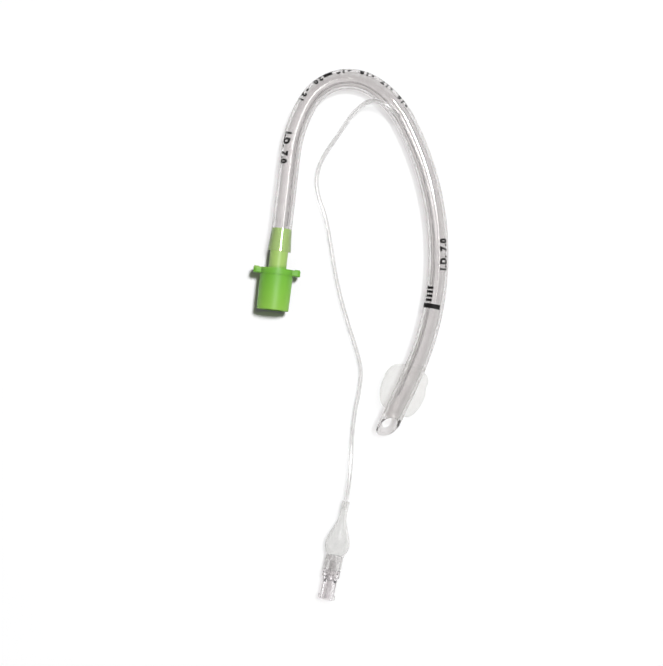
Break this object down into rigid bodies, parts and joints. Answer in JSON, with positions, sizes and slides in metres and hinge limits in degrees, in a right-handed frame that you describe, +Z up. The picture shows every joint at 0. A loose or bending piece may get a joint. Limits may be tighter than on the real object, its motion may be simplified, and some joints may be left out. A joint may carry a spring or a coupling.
{
  "type": "endotracheal tube",
  "caption": "Curved clear airway tube with a push-fit connector, an inflatable cuff at its bevelled tip, and a thin inflation line to a pilot balloon with a one-way valve.",
  "frame": {"origin": "on the table under the middle of the tube, cuff and connector's box, the inflation line and what is on it left out", "axes": "+Z up as the tube lies on a table, +Y from the cuffed tip to the arch, +X from the connector's leg to the cuffed leg"},
  "size_m": [0.0918, 0.2504, 0.0163],
  "materials": {
    "tube": "clear soft plastic, smooth and glossy",
    "connector": "translucent green hard plastic, satin",
    "cuff": "thin milky film",
    "inflation_line": "clear soft plastic",
    "pilot_balloon": "thin clear film",
    "valve_base": "milky hard plastic",
    "valve_housing": "clear hard plastic",
    "valve_plunger": "white hard plastic",
    "valve_seal": "soft grey rubber",
    "valve_spring": "bright wire"
  },
  "bodies": {
    "airway": {"tube": "tube", "connector": "connector", "cuff": "cuff", "inflation_line": "inflation_line", "pilot_balloon": "pilot_balloon", "valve_base": "valve_base", "valve_housing": "valve_housing", "valve_spring": "valve_spring"},
    "plunger": {"valve_plunger": "valve_plunger", "valve_seal": "valve_seal"}
  },
  "joints": [
    {"name": "plunger_press", "type": "slide", "parent": "airway", "child": "plunger", "axis": [0.2011, 0.9796, 0], "range_m": [0, 0.0013], "stiffness_N_per_m": 300, "springref_m": -0.001, "deforming": ["valve_spring"]}
  ]
}
